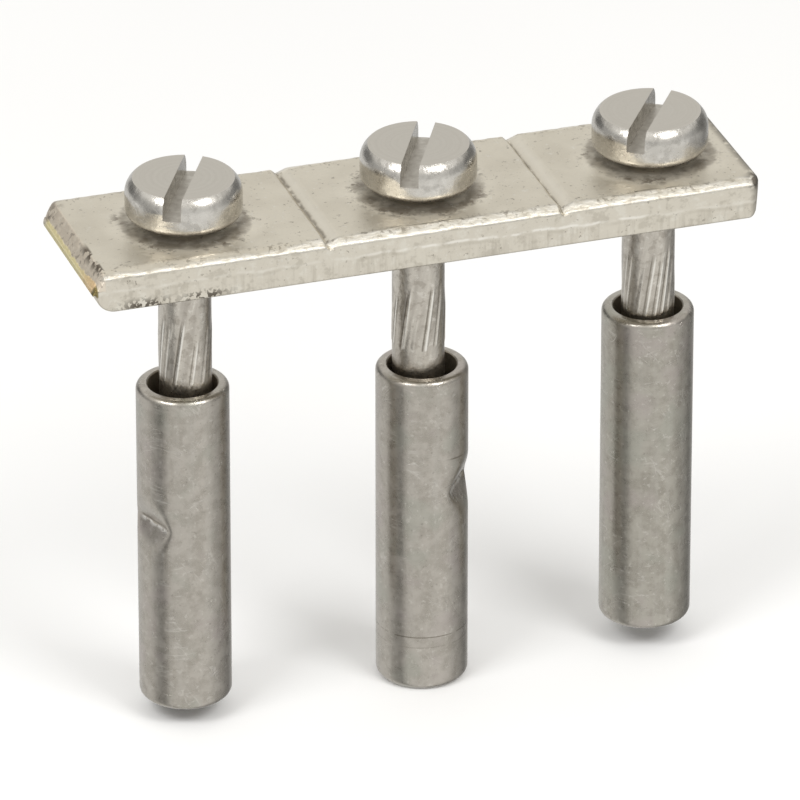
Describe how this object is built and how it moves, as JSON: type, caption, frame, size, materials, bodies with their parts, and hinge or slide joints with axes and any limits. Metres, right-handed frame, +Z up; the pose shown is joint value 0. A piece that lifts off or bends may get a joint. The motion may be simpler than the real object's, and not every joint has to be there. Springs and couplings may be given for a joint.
{
  "type": "terminal block jumper bar",
  "caption": "Plated brass jumper bar with captive slotted screws and sliding contact sleeves, for linking neighbouring rail terminal blocks.",
  "frame": {"origin": "on the middle screw's axis, in the plane of the bar's underside, where the sleeves seat", "axes": "+X along the bar from its snapped end to its square end, +Y to the back, +Z up along the screws towards their heads"},
  "size_m": [0.0342, 0.009, 0.0291],
  "materials": {
    "bar_plating": "tin plated, worn satin",
    "screw_plating": "nickel plated, turned",
    "sleeve_plating": "nickel plated, drawn satin"
  },
  "bodies": {
    "bar": {"jumper_bar": "bar_plating"},
    "left_screw": {"left_screw": "screw_plating"},
    "left_sleeve": {"left_sleeve": "sleeve_plating"},
    "middle_screw": {"middle_screw": "screw_plating"},
    "middle_sleeve": {"middle_sleeve": "sleeve_plating"},
    "right_screw": {"right_screw": "screw_plating"},
    "right_sleeve": {"right_sleeve": "sleeve_plating"}
  },
  "joints": [
    {"name": "left_screw_turn", "type": "hinge", "parent": "bar", "child": "left_screw", "pos_m": [-0.012, 0, 0], "axis": [0, 0, -1], "continuous": true},
    {"name": "middle_screw_turn", "type": "hinge", "parent": "bar", "child": "middle_screw", "pos_m": [0, 0, 0], "axis": [0, 0, -1], "continuous": true},
    {"name": "right_screw_turn", "type": "hinge", "parent": "bar", "child": "right_screw", "pos_m": [0.012, 0, 0], "axis": [0, 0, -1], "continuous": true},
    {"name": "left_sleeve_slide", "type": "slide", "parent": "bar", "child": "left_sleeve", "axis": [0, 0, 1], "range_m": [0, 0.00656]},
    {"name": "middle_sleeve_slide", "type": "slide", "parent": "bar", "child": "middle_sleeve", "axis": [0, 0, 1], "range_m": [0, 0.00746]},
    {"name": "right_sleeve_slide", "type": "slide", "parent": "bar", "child": "right_sleeve", "axis": [0, 0, 1], "range_m": [0, 0.00626]}
  ]
}
